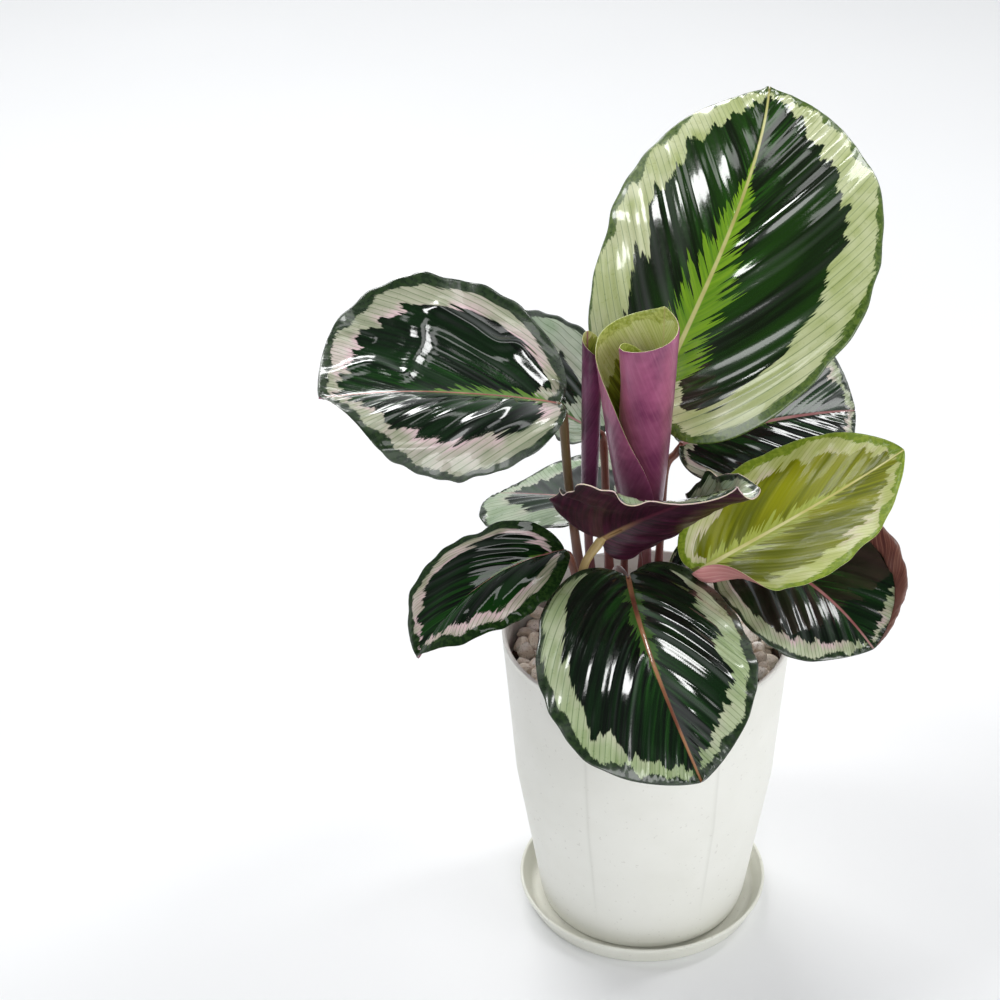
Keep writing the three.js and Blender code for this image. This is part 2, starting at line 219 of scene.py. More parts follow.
class Nodes:
    """Short calls for building a material's node tree."""

    def __init__(self, name):
        self.mat = bpy.data.materials.new(name)
        self.mat.use_nodes = True
        self.tree = self.mat.node_tree
        self.tree.nodes.clear()
        self.out = self.add("ShaderNodeOutputMaterial")
        self.bsdf = self.add("ShaderNodeBsdfPrincipled")
        self.link(self.bsdf.outputs[0], self.out.inputs[0])

    def add(self, kind, **props):
        n = self.tree.nodes.new(kind)
        for k, v in props.items():
            setattr(n, k, v)
        return n

    def link(self, a, b):
        self.tree.links.new(a, b)

    def put(self, socket, value):
        if isinstance(value, bpy.types.NodeSocket):
            self.link(value, socket)
        else:
            socket.default_value = value

    def attr(self, name):
        return self.add("ShaderNodeAttribute", attribute_name=name).outputs["Fac"]

    def math(self, op, *values):
        n = self.add("ShaderNodeMath", operation=op)
        for socket, v in zip(n.inputs, values):
            self.put(socket, v)
        return n.outputs[0]

    def mul(self, a, b):
        return self.math("MULTIPLY", a, b)

    def fma(self, a, b, c):
        """a times b, plus c."""
        return self.math("MULTIPLY_ADD", a, b, c)

    def sway(self, value, depth):
        """A value of 0 to 1 as an offset about 0, this deep in all."""
        return self.fma(value, depth, -depth / 2)

    def plus(self, a, b):
        return self.math("ADD", a, b)

    def minus(self, a, b):
        return self.math("SUBTRACT", a, b)

    def step(self, value, low, high):
        """0 below low, 1 above high, smooth between; low may be above high."""
        n = self.add("ShaderNodeMapRange", interpolation_type="SMOOTHSTEP")
        self.put(n.inputs[0], value)
        n.inputs[1].default_value = low
        n.inputs[2].default_value = high
        return n.outputs[0]

    def vec(self, x, y=0.0, z=0.0):
        n = self.add("ShaderNodeCombineXYZ")
        for socket, v in zip(n.inputs, (x, y, z)):
            self.put(socket, v)
        return n.outputs[0]

    def noise(self, vector, scale, detail, rough=0.5):
        n = self.add("ShaderNodeTexNoise")
        self.link(vector, n.inputs["Vector"])
        n.inputs["Scale"].default_value = scale
        n.inputs["Detail"].default_value = detail
        n.inputs["Roughness"].default_value = rough
        return n.outputs["Fac"]

    def paint(self, socket, colour):
        self.put(socket, colour if isinstance(colour, bpy.types.NodeSocket) else (*colour, 1.0))

    def mix(self, fac, a, b):
        n = self.add("ShaderNodeMix", data_type="RGBA")
        self.put(n.inputs[0], fac)
        self.paint(n.inputs[6], a)
        self.paint(n.inputs[7], b)
        return n.outputs[2]

    def cloud(self, *settings):
        """Noise in the object's own space."""
        return self.noise(self.add("ShaderNodeTexCoord").outputs["Object"], *settings)

    def bump(self, height, strength, distance, normal=None):
        n = self.add("ShaderNodeBump")
        n.inputs["Strength"].default_value = strength
        n.inputs["Distance"].default_value = distance
        self.link(height, n.inputs["Height"])
        if normal is not None:
            self.link(normal, n.inputs["Normal"])
        return n.outputs[0]

    def surface(self, colour, roughness, normal=None, **fixed):
        self.paint(self.bsdf.inputs["Base Color"], colour)
        self.put(self.bsdf.inputs["Roughness"], roughness)
        if normal is not None:
            self.link(normal, self.bsdf.inputs["Normal"])
        for key, value in fixed.items():
            self.bsdf.inputs[key.replace("_", " ")].default_value = value
        return self.mat


def srgb(r, g, b):
    """Linear colour from 0-255 screen values."""
    return tuple(((c / 255 + 0.055) / 1.055) ** 2.4 if c > 10 else c / 255 / 12.92 for c in (r, g, b))


def tones(*tables):
    """Several tables as one, later ones over earlier, with their screen colours made linear."""
    return SimpleNamespace(**{k: srgb(*v) if isinstance(v, tuple) else v
                              for table in tables for k, v in table.items()})


# ---- shapes shared by the leaves
def ramp(x, low, high):
    """0 below low, 1 above high, smooth between."""
    k = np.clip((x - low) / (high - low), 0, 1)
    return k * k * (3 - 2 * k)


def outline_at(s):
    """Half width of a blade at s, as a share of its greatest."""
    return np.power(np.clip(4 * s * (1 - s), 0, 1), 0.5 + 0.22 * s ** 4)


def leaf_axes(leaf, s):
    """Tangent, right-hand side and upper normal of the blade at s."""
    az = np.radians(leaf["az"] + leaf["bend"] * (s - 0.5))
    climb = np.radians(leaf["pitch"][0] + (leaf["pitch"][1] - leaf["pitch"][0]) * s)
    tilt = np.radians(leaf["roll"] + leaf["twist"] * (s - 0.5))[..., None]
    T = np.stack([np.cos(climb) * np.cos(az), np.cos(climb) * np.sin(az), np.sin(climb)], -1)
    B = np.stack([np.sin(az), -np.cos(az), 0 * az], -1)
    N = np.cross(B, T)
    return T, B * np.cos(tilt) + N * np.sin(tilt), N * np.cos(tilt) - B * np.sin(tilt)


def leaf_spine(leaf, s, steps=60):
    """Points of the midrib at s."""
    T, _, _ = leaf_axes(leaf, (np.arange(steps) + 0.5) / steps)
    line = np.vstack([np.zeros(3), np.cumsum(T, axis=0) * leaf["length"] / steps]) + np.array(leaf["base"])
    grid = np.linspace(0, 1, steps + 1)
    return np.stack([np.interp(s, grid, line[:, k]) for k in range(3)], -1)


def vein_start(leaf, flat, across):
    """Where on the midrib the side vein through a flattened point begins, as a share of its length."""
    width = sum(leaf["half"]) / 2
    return (flat[..., 0] - 0.75 * across - 0.65 * across ** 2 / width) / (leaf["length"] + 1.6 * across)


def folds(q, rng, low, high, sharp=0.8):
    """A pleat profile over the vein coordinate: rounded ridges of uneven width and height."""
    marks = [-1.6]
    while marks[-1] < 1.6:
        marks.append(marks[-1] + rng.uniform(low, high))
    phase = np.interp(q, marks, np.arange(len(marks)))
    depth = np.interp(phase, np.arange(len(marks)) + 0.5, rng.uniform(0.35, 1.3, len(marks)))
    return depth * (0.5 - 0.5 * np.cos(2 * np.pi * phase)) ** sharp


def line_distance(flat, line):
    """Distance of every point of a grid to a line of points."""
    d = np.full(flat.shape[:2], 1e9)
    for a, b in zip(line[:-1], line[1:]):
        k = np.clip(((flat - a) @ (b - a)) / ((b - a) @ (b - a)), 0, 1)
        d = np.minimum(d, np.linalg.norm(flat - a - k[..., None] * (b - a), axis=-1))
    return d


def leaf_relief(leaf, look, s, t, across, flat):
    """Height over the plain sheet, in mm: pleats, creases and wavy margins."""
    rng = seeded(100 + look["seed"])
    size = (leaf["length"] / 200) ** 0.6
    height = np.zeros_like(t)
    a = np.abs(t)
    for side in (-1, 1):
        on = (t < 0) if side < 0 else (t >= 0)
        p = rng.uniform(0, PHASE, 8)
        q = vein_start(leaf, flat, across) + 0.01 * np.sin(4.5 * a + p[0])
        fade = ramp(a, 0.0, 0.28) * (1 - 0.8 * ramp(a, 0.62, 0.95))
        fade = fade * (0.78 + 0.3 * np.sin(9 * q + 4.3 * a + p[1]) * np.sin(5.5 * a + p[2]))
        broad = folds(q, rng, 0.085, 0.15, 0.9) * 1.7
        main = folds(q, rng, 0.03, 0.065, 1.0) * 0.62
        narrow = folds(q, rng, 0.022, 0.035) * 0.08
        lift = look["pleat"] * size * fade * (broad + main + narrow)
        k = rng.uniform(0.8, 1.2, 3)
        dents = np.sin(7 * k[1] * s + 3 * t + p[3]) * np.sin(4.2 * k[2] * t + 5 * s + p[4])
        lift += look["buckle"] * ramp(a, 0.05, 0.5) * 0.6 * dents
        ripple = sum(rng.uniform(0.6, 1.4) / f ** 0.6 * np.sin(2 * np.pi * f * s + rng.uniform(0, PHASE))
                     for f in WAVES)
        lift += look["wave"] * 0.75 * a ** 2.6 * ripple * outline_at(s) ** 0.5
        height = np.where(on, lift, height)
    for rise, wide, points in look.get("creases", []):
        line = []
        for sc, tc in points:
            i = np.abs(s[:, 0] - sc).argmin()
            line.append(flat[i, np.abs(t[0] - tc).argmin()])
        d = line_distance(flat, smooth_path(line, 40))
        height = height * (1 - 0.85 * np.exp(-(d / (2 * wide)) ** 2))
        height = height + rise * size * (np.exp(-(d / wide) ** 2) + 0.35 * np.exp(-(d / (3.5 * wide)) ** 2))
    return height


def leaf_sheet(leaf, look, s, t):
    """Points of the bare sheet for rows s and columns t (odd count, middle on the midrib)."""
    S, T_ = np.meshgrid(s, t, indexing="ij")
    T, B, N = leaf_axes(leaf, S)
    middle = leaf_spine(leaf, S)
    half = len(t) // 2
    out, up, across = (np.zeros_like(S) for _ in range(3))
    wobble = seeded(300 + look["seed"])
    lip, funnel = look.get("lip"), look.get("funnel")
    for side, cols in ((0, np.arange(half, -1, -1)), (1, np.arange(half, len(t)))):
        full = leaf["half"][side]
        along, part = S[:, cols], np.abs(T_[:, cols])
        shift = wobble.uniform(0, PHASE, 3)
        nicks = sum(k * np.sin(2 * np.pi * f * along + p) for (k, f), p in zip(NICKS, shift))
        x = part * full * outline_at(along) * (1 + nicks * look["wave"] * ramp(along, 0.0, 0.15))
        angle = np.radians(leaf["cup"] + leaf["curl"][side] * x / full)
        if lip and lip[0] == side:
            x = x * (1 + 0.34 * ramp(along, 0.15, 0.5))
            angle = angle + np.radians(lip[3]) * ramp(part, lip[1], lip[2]) * ramp(along, 0.15, 0.5)
        if funnel and funnel[0] == side:
            angle = angle + np.radians(funnel[1]) * (1 - ramp(along, 0.04, funnel[2])) * (ramp(part, 0.3, 0.62) - 0.15)
        dx = np.diff(x, axis=1)
        mid = (angle[:, 1:] + angle[:, :-1]) / 2
        zero = np.zeros((len(s), 1))
        o = np.hstack([zero, np.cumsum(np.cos(mid) * dx, axis=1)]) * (-1 if side == 0 else 1)
        u = np.hstack([zero, np.cumsum(np.sin(mid) * dx, axis=1)])
        out[:, cols], up[:, cols], across[:, cols] = o, u, x
    share = across / np.where(T_ < 0, *leaf["half"])
    back = leaf["lobe"] * leaf["length"] * 1.25 * share / (share + 0.25) * (1 - S) ** 3
    if funnel:
        back = back * np.where(T_ > 0, 2.3, 1.0)
    points = middle + B * out[..., None] + N * up[..., None] - T * back[..., None]
    flat = np.stack([S * leaf["length"] - back, np.sign(T_) * across], -1)
    return points, flat, across, S, T_


def grid_normals(P):
    n = np.cross(np.gradient(P, axis=1), np.gradient(P, axis=0))
    return n / (np.linalg.norm(n, axis=-1, keepdims=True) + 1e-9)


def edge_distance(flat):
    """Distance of every grid point to the margin, measured on the flattened blade."""
    rim = np.vstack([flat[:, 0], flat[-1], flat[::-1, -1], flat[0]])
    return np.array([np.linalg.norm(row[:, None, :] - rim[None], axis=-1).min(axis=1) for row in flat])


def sheet_object(name, top, bottom, materials, attrs):
    """A closed thin sheet from two grids of points: upper face, underside and rim, a material for each."""
    rows, cols = top.shape[:2]
    n = rows * cols
    verts = np.vstack([top.reshape(-1, 3), bottom.reshape(-1, 3)])
    i, j = np.meshgrid(np.arange(rows - 1), np.arange(cols - 1), indexing="ij")
    a = (i * cols + j).ravel()
    up = np.stack([a, a + 1, a + cols + 1, a + cols], -1)
    down = np.stack([a + n, a + cols + n, a + cols + 1 + n, a + 1 + n], -1)
    loop = np.concatenate([np.arange(cols), np.arange(2 * cols - 1, n, cols),
                           np.arange(n - 2, n - cols - 1, -1), np.arange(n - 2 * cols, 0, -cols)])
    nxt = np.roll(loop, -1)
    rim = np.stack([loop, loop + n, nxt + n, nxt], -1)
    faces = np.vstack([up, down, rim]).tolist()
    mats = np.concatenate([np.zeros(len(up)), np.ones(len(down)), np.full(len(rim), 2)])
    both = {k: np.concatenate([v.ravel(), v.ravel()]) for k, v in attrs.items()}
    return mesh_object(name, verts, faces, materials, mats, both)


def build_leaf(name, leaf, look, materials):
    rows, half_cols = FINE_GRID if leaf["length"] > LONG_LEAF else GRID
    s = 0.5 - 0.4992 * np.cos(np.pi * np.linspace(0, 1, rows))
    side = np.linspace(0, 1, half_cols + 1)
    t = np.concatenate([-side[:0:-1], side])
    P, flat, across, S, T_ = leaf_sheet(leaf, look, s, t)
    N = grid_normals(P)
    lift = leaf_relief(leaf, look, S, T_, across, flat)
    edge = edge_distance(flat)
    hem = look.get("hem", 0.35)
    thick = BLADE_HALF * np.clip(edge / THIN_FROM, hem, max(1, hem))
    rib = np.exp(-(across / (0.9 + 0.8 * (1 - S))) ** 2) * (1 - S) ** 0.6
    top = P + N * (lift + thick + 0.25 * rib)[..., None]
    bottom = P + N * (lift - thick - (1.5 * leaf["length"] / 200 + 0.5) * rib)[..., None]
    foot = look.get("foot", 1.0)
    narrow = np.clip(outline_at(S) ** 0.85, 0.15, 1) * (foot + (1 - foot) * ramp(S, 0.0, 0.32))
    attrs = dict(vein=vein_start(leaf, flat, across), edge=edge, ring=edge / narrow,
                 rib=across, along=S, half=np.where(T_ < 0, -1.0, 1.0))
    return sheet_object(name, top, bottom, materials, attrs)


# ---- rolled leaves
def build_roll(name, roll, materials, rows=130, cols=111):
    """A blade wound round its own axis: one half outwards, the other inwards."""
    s = 0.5 - 0.496 * np.cos(np.pi * np.linspace(0, 1, rows))
    t = np.linspace(-1, 1, cols)
    S, T_ = np.meshgrid(s, t, indexing="ij")
    left = T_ < 0
    radius = roll["radius"][0] + (roll["radius"][1] - roll["radius"][0]) * S ** roll["flare"]
    low, mouth = (np.where(left, a, b) for a, b in zip(*roll["blunt"]))
    share = np.where(S < 0.5, (4 * S * (1 - S)) ** low, 1 - np.clip(2 * S - 1, 0, 1) ** mouth)
    if roll["tuck"]:
        share = share * (0.35 + 0.65 * ramp(1 - S, -0.01, 0.1))
    width = np.where(left, *roll["half"]) * share
    across = np.abs(T_) * width
    wound = across / radius
    r = np.where(left, radius + (roll["outward"][0] + roll["outward"][1] * radius) * wound,
                 radius - (roll["inward"][0] + roll["inward"][1] * radius) * wound)
    r = r - np.where(left, 0, roll["tuck"] * ramp(wound, 2.9, 4.1) * ramp(S, 0.55, 0.85))
    r = np.maximum(r, 1.2) + roll["ripple"] * np.abs(T_) ** 3 * np.sin(9 * S + 2 * T_)
    bearing = math.radians(roll["midrib"]) + np.where(left, wound, -wound)
    base, tip = (np.array(p, float) for p in roll["axis"])
    centre = base + (tip - base) * S[..., None]
    out = np.stack([np.cos(bearing), np.sin(bearing), 0 * bearing], -1)
    length = np.linalg.norm(tip - base)
    flat = np.stack([S * length, np.sign(T_) * across], -1)
    edge = edge_distance(flat)
    thick = ROLL_HALF * np.clip(edge / THIN_FROM, 0.4, 1)
    vein = vein_start(dict(length=length, half=roll["half"]), flat, across)
    pleat = 0.1 * folds(vein, seeded(5), 0.04, 0.07) * ramp(np.abs(T_), 0, 0.2)
    rib = np.exp(-(across / 1.6) ** 2) * (1 - S) ** 0.5
    inner = centre + out * (r - thick + pleat)[..., None]
    outer = centre + out * (r + thick + pleat + 0.8 * rib)[..., None]
    attrs = dict(vein=vein, edge=edge, ring=edge, rib=across, along=S, half=np.where(left, -1.0, 1.0))
    return sheet_object(name, inner, outer, materials, attrs)


# ---- petioles
def smooth_path(points, count):
    """A Catmull-Rom curve through the points, evenly resampled."""
    P = np.array(points, float)
    ends = np.vstack([2 * P[0] - P[1], P, 2 * P[-1] - P[-2]])
    out = []
    for i in range(1, len(ends) - 2):
        p0, p1, p2, p3 = ends[i - 1:i + 3]
        for u in np.linspace(0, 1, 24, endpoint=False):
            out.append(0.5 * (2 * p1 + (p2 - p0) * u + (2 * p0 - 5 * p1 + 4 * p2 - p3) * u ** 2
                              + (3 * p1 - p0 - 3 * p2 + p3) * u ** 3))
    out.append(P[-1])
    out = np.array(out)
    d = np.concatenate([[0], np.cumsum(np.linalg.norm(np.diff(out, axis=0), axis=1))])
    g = np.linspace(0, d[-1], count)
    return np.stack([np.interp(g, d, out[:, k]) for k in range(out.shape[1])], -1)


def build_tube(name, path, radii, squash, materials, ring=20, groove=0.14):
    """A closed tapered tube with a shallow groove along its upper side."""
    n = len(path)
    tangent = np.gradient(path, axis=0)
    tangent /= np.linalg.norm(tangent, axis=1, keepdims=True)
    side = np.cross(tangent[0], [0.3, 1, 0.2])
    verts, around = [], np.linspace(0, 2 * np.pi, ring, endpoint=False)
    for p, T, r, q in zip(path, tangent, radii, squash):
        side = side - T * np.dot(side, T)
        side /= np.linalg.norm(side)
        up = np.cross(T, side)
        shape = 1 - groove * np.exp(-((around - np.pi / 2) / 0.5) ** 2)
        verts.append(p + r * (1 + q) * (np.cos(around) * shape)[:, None] * side
                     + r * (1 - 0.5 * q) * (np.sin(around) * shape)[:, None] * up)
    verts = np.vstack(verts)
    faces = ring_quads(n, ring).tolist()
    faces += [list(range(ring))[::-1], list(range((n - 1) * ring, n * ring))]
    along = np.repeat(np.linspace(0, 1, n), ring)
    return mesh_object(name, verts, faces, materials, attrs=dict(along=along, turn=np.cos(np.tile(around, n))))


# ---- leaf materials
def cell_bump(g, extra=None):
    """Small cells of the leaf's skin, over an optional larger relief."""
    cells = g.cloud(900, 2, 0.55)
    normal = g.bump(cells, 0.3, 0.00010)
    if extra is not None:
        normal = g.bump(extra, 0.25, 0.00012, normal)
    return normal


def jagged(g, u, lane, size):
    """Offset in mm of a colour boundary, stepped from vein to vein and finely toothed."""
    line = g.vec(u, lane)
    cell = g.plus(g.math("FLOOR", g.mul(u, 0.16 / size)), lane)
    white = g.add("ShaderNodeTexWhiteNoise", noise_dimensions="1D")
    g.link(cell, white.inputs["W"])
    coarse, mid, fine = (g.sway(g.noise(line, scale, 1), depth * size)
                         for scale, depth in ((0.055, 22), (0.21, 9), (0.8, 6)))
    return g.plus(g.plus(coarse, mid), g.plus(fine, g.sway(white.outputs["Value"], 5 * size)))


def vein_gap(g, u, spacing):
    """Distance in mm to the nearest side vein, where they are this far apart."""
    phase = g.math("FRACT", g.math("DIVIDE", u, spacing))
    return g.mul(g.math("ABSOLUTE", g.minus(phase, 0.5)), spacing)


def leaf_top(name, leaf, look, tone):
    """Upper face: dark centre, pale toothed ring, green margin, feather, midrib and veins."""
    g = Nodes(name)
    q, edge, rib, along, side = (g.attr(k) for k in ("vein", "edge", "rib", "along", "half"))
    length, width = leaf["length"], sum(leaf["half"]) / 2
    size = (length / 200) ** 0.5
    u = g.mul(q, length)
    lane = g.fma(side, 9.0, look["seed"] * 3.7)
    grain = g.noise(g.vec(u, g.mul(rib, 0.16), lane), 0.28, 2, 0.55)
    cloud = g.cloud(45, 2, 0.5)
    fleck = g.cloud(420, 2, 0.6)

    # thin dark lines of the side veins
    spacing = tone.spacing
    near = vein_gap(g, u, spacing)
    line = g.step(near, 0.42, 0.12)

    # deep green centre
    dark = g.mix(g.step(grain, 0.35, 0.7), tone.dark, tone.deep)
    wash = g.noise(g.vec(u, g.mul(rib, 0.35), lane), 0.05, 1)
    dark = g.mix(g.step(wash, 0.45, 0.66), dark, tone.wash)
    dark = g.mix(g.mul(line, 0.3), dark, tone.vein_in)
    near_rib = g.step(rib, width * 0.5, 0.0)
    dark = g.mix(g.mul(near_rib, g.step(grain, 0.45, 0.75)), dark, tone.glow)

    # pale ring
    shift = jagged(g, u, lane, size)
    start = g.plus(shift, look["ring"] * width)
    into = g.minus(g.attr("ring"), start)
    ring_mask = g.step(into, 0.45, -0.45)
    ring = g.mix(g.step(grain, 0.3, 0.72), tone.ring, tone.ring2)
    ring = g.mix(g.step(cloud, 0.4, 0.7), ring, tone.ring3)
    blush = g.mul(g.step(into, -5.5, -0.5), g.step(cloud, 0.36, 0.6))
    ring = g.mix(g.mul(blush, tone.blush), ring, tone.pink)
    ring = g.mix(g.mul(line, 0.6), ring, tone.vein_out)
    colour = g.mix(ring_mask, dark, ring)

    # green margin, broken into blotches
    slow = g.sway(g.noise(g.vec(u, lane, 3.0), 0.045, 1), 18)
    blotch = g.sway(g.noise(g.vec(u, g.mul(edge, 0.7), lane), 0.45, 3, 0.7), 8)
    rim_at = g.plus(g.mul(g.plus(slow, blotch), size), look["margin"] * width)
    rim = g.step(g.minus(edge, rim_at), 0.6, -0.3)
    rim_colour = g.mix(g.step(fleck, 0.42, 0.62), tone.rim, tone.rim2)
    colour = g.mix(rim, colour, rim_colour)

    # bright feather along the midrib and the midrib itself
    reach = g.mul(g.step(along, 0.0, 0.14), g.step(along, tone.feather_end, 0.32))
    teeth = g.fma(g.noise(g.vec(u, lane, 5.0), 0.33, 2, 0.7), 3.2, -0.95)
    feather_at = g.mul(g.mul(reach, teeth), look["feather"])
    feather = g.step(g.minus(rib, feather_at), 0.5, -0.5)
    feather_colour = g.mix(g.step(grain, 0.35, 0.7), tone.feather, tone.feather2)
    feather_colour = g.mix(g.mul(line, 0.3), feather_colour, tone.vein_out)
    colour = g.mix(feather, colour, feather_colour)
    rib_at = g.fma(along, -0.85, tone.nerve)
    nerve = g.step(g.minus(rib, rib_at), 0.35, -0.35)
    colour = g.mix(nerve, colour, g.mix(g.step(cloud, 0.35, 0.65), tone.rib, tone.rib2))

    rough = g.fma(fleck, 0.12, g.fma(ring_mask, 0.16, tone.rough))
    ridge = g.step(near, spacing * 0.5, 0.0)
    return g.surface(colour, rough, cell_bump(g, ridge), Coat_Weight=tone.coat, Coat_Roughness=0.05,
                     Specular_IOR_Level=tone.shine)


def leaf_under(name, tone, spacing, length):
    """Underside: clouds, streaks along the veins, and lines on the veins and the midrib."""
    g = Nodes(name)
    q, rib, side = (g.attr(k) for k in ("vein", "rib", "half"))
    u = g.mul(q, length)
    cloud = g.cloud(45, 3, 0.6)
    grain = g.noise(g.vec(u, g.mul(rib, 0.1), side), 0.7, 3, 0.6)
    colour = g.mix(g.step(cloud, 0.3, 0.7), tone.deep, tone.mid)
    colour = g.mix(g.mul(g.step(grain, 0.4, 0.75), tone.streak), colour, tone.light)
    if tone.dark_foot:
        foot = g.mul(g.step(g.attr("along"), 0.62, 0.1), tone.dark_foot)
        colour = g.mix(foot, colour, tone.deep)
    near = vein_gap(g, u, spacing)
    colour = g.mix(g.mul(g.step(near, 0.5, 0.1), tone.drawn), colour, tone.lines)
    colour = g.mix(g.step(rib, 2.2, 0.8), colour, tone.lines)
    if tone.foot_rib:
        at_foot = g.mul(g.step(rib, 2.6, 1.2), g.step(g.attr("along"), 0.34, 0.04))
        colour = g.mix(at_foot, colour, tone.foot_rib)
    fleck = g.cloud(500, 2, 0.6)
    return g.surface(colour, g.fma(fleck, 0.16, tone.rough - 0.08),
                     cell_bump(g, g.step(near, spacing * 0.5, 0.0)), Coat_Weight=0.1, Coat_Roughness=0.25)


def edge_finish(name, a, b):
    g = Nodes(name)
    fleck = g.cloud(300, 2, 0.6)
    return g.surface(g.mix(g.step(fleck, 0.35, 0.65), srgb(*a), srgb(*b)), g.fma(fleck, 0.2, 0.35),
                     cell_bump(g))


# Upper faces, in screen colours. feather_end: where along the midrib the feather ends; blush: pink in the
# ring; spacing: mm between side veins; nerve: half width of the midrib in mm; rough, coat, shine: gloss.
BASE_TONE = dict(
    dark=(7, 15, 8), deep=(14, 34, 15), vein_in=(24, 54, 24), glow=(34, 80, 26), wash=(11, 38, 11),
    ring=(172, 182, 146), ring2=(146, 160, 120), ring3=(192, 198, 168), pink=(214, 184, 190),
    vein_out=(76, 104, 58), rim=(20, 40, 16), rim2=(36, 58, 24),
    feather=(96, 132, 52), feather2=(66, 104, 40), feather_end=0.66, rib=(186, 142, 138), rib2=(150, 92, 92),
    blush=0.55, spacing=4.0, nerve=1.35, rough=0.07, coat=0.8, shine=0.6)
TONES = {
    "tall": dict(
        dark=(12, 24, 5), deep=(18, 40, 8), ring=(180, 190, 136), ring2=(158, 170, 106), ring3=(194, 200, 156),
        feather=(120, 160, 36), feather2=(88, 132, 28), feather_end=0.8, rib=(206, 206, 140), rib2=(172, 166, 98),
        glow=(36, 80, 18), wash=(24, 54, 8), rim=(58, 84, 14), rim2=(84, 108, 30), blush=0.03, spacing=5.4),
    "left": dict(
        ring=(172, 174, 150), ring2=(140, 146, 120), ring3=(196, 184, 176), blush=0.85,
        rib=(182, 124, 108), rib2=(146, 82, 76), spacing=3.6),
    "front": dict(
        feather=(62, 98, 38), rib=(176, 124, 88), rib2=(122, 70, 52), nerve=1.55, blush=0.12,
        ring=(166, 182, 138), ring2=(140, 160, 108), ring3=(186, 196, 160), spacing=4.2),
    "front_left": dict(
        ring=(176, 172, 152), ring2=(140, 140, 118), ring3=(200, 186, 180), wash=(16, 52, 14),
        blush=0.8, spacing=3.0, rough=0.18, coat=0.2, shine=0.0),
    "right_low": dict(spacing=3.0, blush=0.9, coat=0.45, shine=0.4),
    "back": dict(
        ring=(160, 180, 148), ring2=(132, 156, 122), ring3=(180, 194, 168), blush=0.2, coat=0.3, shine=0.25),
    "left_back": dict(
        ring=(168, 186, 158), ring2=(140, 162, 132), ring3=(194, 206, 184), blush=0.2, coat=0.5, shine=0.4),
    "young": dict(
        dark=(96, 104, 0), deep=(120, 126, 0), vein_in=(118, 126, 10), wash=(138, 142, 4), glow=(150, 158, 22),
        ring=(192, 198, 130), ring2=(172, 182, 98), ring3=(210, 212, 164), vein_out=(156, 164, 84),
        rim=(112, 136, 28), rim2=(136, 156, 44), feather=(176, 186, 84), feather2=(150, 164, 60), feather_end=0.9,
        rib=(226, 222, 160), rib2=(204, 196, 120), blush=0.35, spacing=3.4, rough=0.26, coat=0.12, shine=0.22),
    "inner": dict(dark=(22, 40, 24), ring=(150, 172, 140), blush=0.2),
}
# Undersides. drawn, streak, dark_foot: strength of the veins' lines, of the light streaks and of the deep
# colour at the base; foot_rib: another colour of the midrib at the base.
BASE_UNDER = dict(rough=0.38, drawn=0.5, streak=0.7, dark_foot=0, foot_rib=None, light=(112, 46, 72),
                  mid=(88, 30, 54), deep=(58, 18, 36), lines=(128, 66, 84))
UNDERS = {
    "inner": dict(light=(88, 22, 60), mid=(48, 7, 31), deep=(24, 3, 14), lines=(84, 30, 50), rough=0.44,
                  foot_rib=(150, 118, 70)),
    "young": dict(light=(220, 160, 156), mid=(202, 134, 134), deep=(178, 108, 112), lines=(226, 180, 168)),
    "right_low": dict(light=(134, 92, 74), mid=(106, 66, 54), deep=(78, 44, 40), lines=(144, 104, 86)),
}
EDGE_DARK = edge_finish("edge_dark", (66, 62, 40), (104, 84, 66))
EDGE_PALE = edge_finish("edge_pale", (214, 202, 170), (226, 196, 196))
EDGE_CREAM = edge_finish("edge_cream", (222, 226, 170), (196, 206, 132))
EDGES = {"inner": EDGE_PALE, "young": EDGE_CREAM}
LEAF_SLOTS = {"inner": "leaf_underside", "young": "leaf_young"}

for key, leaf in LEAVES.items():
    look = LOOKS[key]
    tone = tones(BASE_TONE, TONES.get(key, {}))
    top = leaf_top(f"leaf_{key}_upper", leaf, look, tone)
    under = leaf_under(f"leaf_{key}_under", tones(BASE_UNDER, UNDERS.get(key, {})), tone.spacing, leaf["length"])
    blade = build_leaf(f"blade_{key}", leaf, look, [top, under, EDGES.get(key, EDGE_DARK)])
    settle(blade, LEAF_SLOTS.get(key, "leaf"), f"leaf_{key}_blade")

ROLL_INSIDES = {
    "roll_wide_blade": dict(
        dark=(104, 104, 30), deep=(150, 162, 52), glow=(190, 204, 84), wash=(138, 148, 44),
        ring=(220, 226, 158), ring2=(192, 204, 112), ring3=(228, 230, 184), vein_out=(172, 182, 104),
        rib=(208, 206, 140), rib2=(176, 170, 100), rim=(160, 172, 76), rim2=(196, 204, 116), blush=0.1, spacing=3.2),
    "roll_thin_blade": dict(
        dark=(158, 170, 74), deep=(184, 194, 92), wash=(170, 182, 80), ring=(220, 226, 140), ring2=(196, 208, 108),
        ring3=(228, 230, 170), vein_out=(176, 188, 100), rim=(186, 198, 92), rim2=(210, 218, 124), spacing=2.6),
    "shoot_blade": dict(spacing=2.6),
}
ROLL_UNDER = dict(rough=0.32, drawn=0.06, streak=0.18, dark_foot=0.8)
ROLL_OUTSIDES = {
    "roll_wide_blade": dict(light=(206, 134, 166), mid=(172, 92, 130), deep=(120, 52, 90), lines=(196, 122, 154)),
    "roll_thin_blade": dict(light=(160, 98, 136), mid=(122, 60, 98), deep=(80, 34, 64), lines=(160, 104, 136)),
    "shoot_blade": dict(light=(120, 62, 92), mid=(82, 32, 58), deep=(40, 16, 30), lines=(132, 86, 106)),
}
